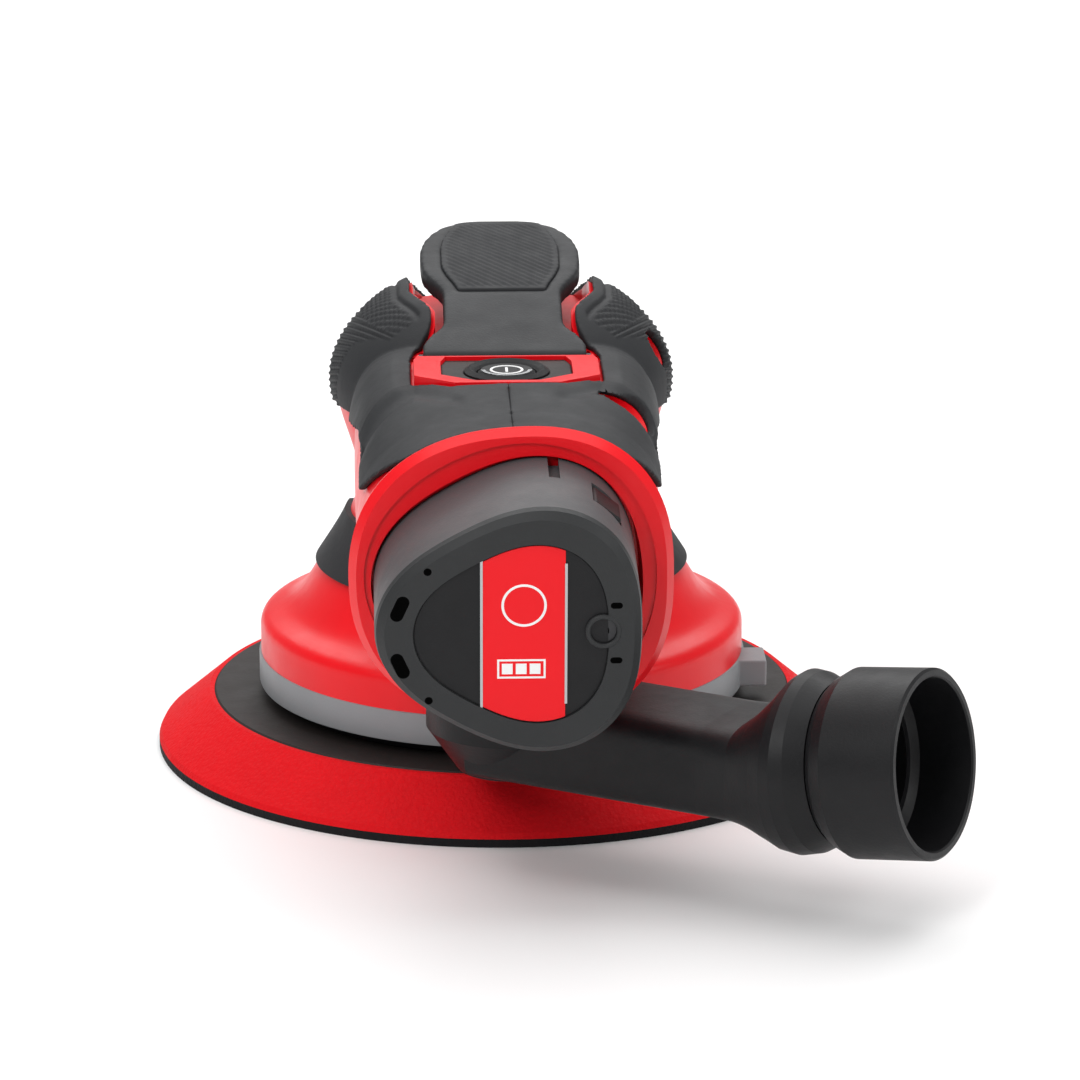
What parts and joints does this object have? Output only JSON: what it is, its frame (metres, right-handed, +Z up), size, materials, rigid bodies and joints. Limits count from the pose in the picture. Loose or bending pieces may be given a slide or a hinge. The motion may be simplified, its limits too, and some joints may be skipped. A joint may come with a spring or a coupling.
{
  "type": "orbital sander",
  "caption": "Cordless palm-grip random orbital sander with a paddle switch, slide-in battery and a swivelling dust chute over a round hook-faced pad.",
  "frame": {"origin": "on the spindle's axis, at the level of the pad's sanding face", "axes": "+Z up along the spindle, +Y towards the nose, -Y towards the battery, +X to the right-hand side seen from behind"},
  "size_m": [0.1671, 0.2151, 0.1096],
  "materials": {
    "hook_fabric": "short stiff hooks",
    "pad_foam": "closed-cell foam",
    "dark_plate": "matte",
    "machined_steel": "machined",
    "dark_steel": "black oxide",
    "motor_steel": "laminated",
    "bearing_steel": "ground",
    "cast_aluminium": "die cast",
    "red_housing": "satin gloss",
    "soft_grip": "soft touch, ribbed",
    "grey_shroud": "matte",
    "seal_rubber": "smooth",
    "black_plastic": "matte",
    "lever_plastic": "fine texture",
    "lever_pad": "fine ribs",
    "spring_steel": "drawn wire",
    "silver_trim": "satin silver",
    "button_plastic": "satin",
    "white_print": "printed",
    "board_green": "laminate",
    "battery_grey": "fine texture",
    "battery_dark": "fine texture",
    "red_label": "printed film",
    "cell_wrap": "shrink film",
    "contact_brass": "bright",
    "chute_plastic": "matte"
  },
  "bodies": {
    "machine": {"stator": "motor_steel", "upper_bearing": "bearing_steel", "lower_bearing": "bearing_steel", "bearing_plate": "cast_aluminium", "housing_right": "red_housing", "housing_left": "red_housing", "grip_right": "soft_grip", "grip_left": "soft_grip", "side_bumper_right": "soft_grip", "side_bumper_left": "soft_grip", "housing_screws": "dark_steel", "battery_liner": "red_housing", "shroud": "grey_shroud", "pad_brake_seal": "seal_rubber", "dust_outlet": "black_plastic", "paddle_pin": "machined_steel", "paddle_spring": "spring_steel", "paddle_switch": "black_plastic", "button_frame": "red_housing", "button_plate": "dark_plate", "button_bezel": "silver_trim", "control_board": "board_green", "terminal_block": "black_plastic"},
    "spindle": {"motor_shaft": "machined_steel", "rotor": "motor_steel", "eccentric_fan": "cast_aluminium", "pad_bearing": "bearing_steel"},
    "pad": {"hook_layer": "hook_fabric", "foam_cushion": "pad_foam", "backing_plate": "dark_plate", "pad_hub": "machined_steel", "pad_screws": "dark_steel"},
    "paddle": {"paddle_lever": "lever_plastic", "paddle_grip": "lever_pad"},
    "power_button": {"power_button": "button_plastic", "power_symbol": "white_print", "light_arc": "silver_trim"},
    "battery": {"battery_case": "battery_grey", "battery_end_cap": "battery_dark", "battery_label": "red_label", "battery_screw": "dark_steel", "battery_cells": "cell_wrap", "battery_contacts": "contact_brass"},
    "latch_upper": {"battery_latch_upper": "black_plastic"},
    "latch_lower": {"battery_latch_lower": "black_plastic"},
    "chute": {"dust_chute": "chute_plastic"},
    "cuff": {"hose_cuff": "chute_plastic"}
  },
  "joints": [
    {"name": "spindle_spin", "type": "hinge", "parent": "machine", "child": "spindle", "pos_m": [0, 0, 0.05], "axis": [0, 0, 1], "continuous": true},
    {"name": "pad_spin", "type": "hinge", "parent": "spindle", "child": "pad", "pos_m": [0, 0.0025, 0.02], "axis": [0, 0, 1], "continuous": true},
    {"name": "paddle_press", "type": "hinge", "parent": "machine", "child": "paddle", "pos_m": [0, -0.0306, 0.0932], "axis": [-1, 0, 0], "range_deg": [0, 3.5], "stiffness_Nm_per_rad": 2, "springref_deg": -5.73, "deforming": ["paddle_spring"]},
    {"name": "button_press", "type": "slide", "parent": "machine", "child": "power_button", "axis": [0, 0, -1], "range_m": [0, 0.0008], "stiffness_N_per_m": 500, "springref_m": -0.001},
    {"name": "battery_slide", "type": "slide", "parent": "machine", "child": "battery", "axis": [0, -0.9962, -0.0872], "range_m": [0, 0.06]},
    {"name": "latch_upper_press", "type": "slide", "parent": "battery", "child": "latch_upper", "axis": [-0.6157, 0.0687, -0.785], "range_m": [0, 0.0012], "stiffness_N_per_m": 800, "springref_m": -0.001},
    {"name": "latch_lower_press", "type": "slide", "parent": "battery", "child": "latch_lower", "axis": [-0.6157, -0.0687, 0.785], "range_m": [0, 0.0012], "stiffness_N_per_m": 800, "springref_m": -0.001},
    {"name": "chute_swivel", "type": "hinge", "parent": "machine", "child": "chute", "pos_m": [0, -0.072, 0.03], "axis": [0, 0, 1], "range_deg": [-118, 0]},
    {"name": "cuff_swivel", "type": "hinge", "parent": "chute", "child": "cuff", "pos_m": [0.06463, -0.11083, 0.03057], "axis": [0.8488, -0.51, 0.1392], "continuous": true}
  ]
}
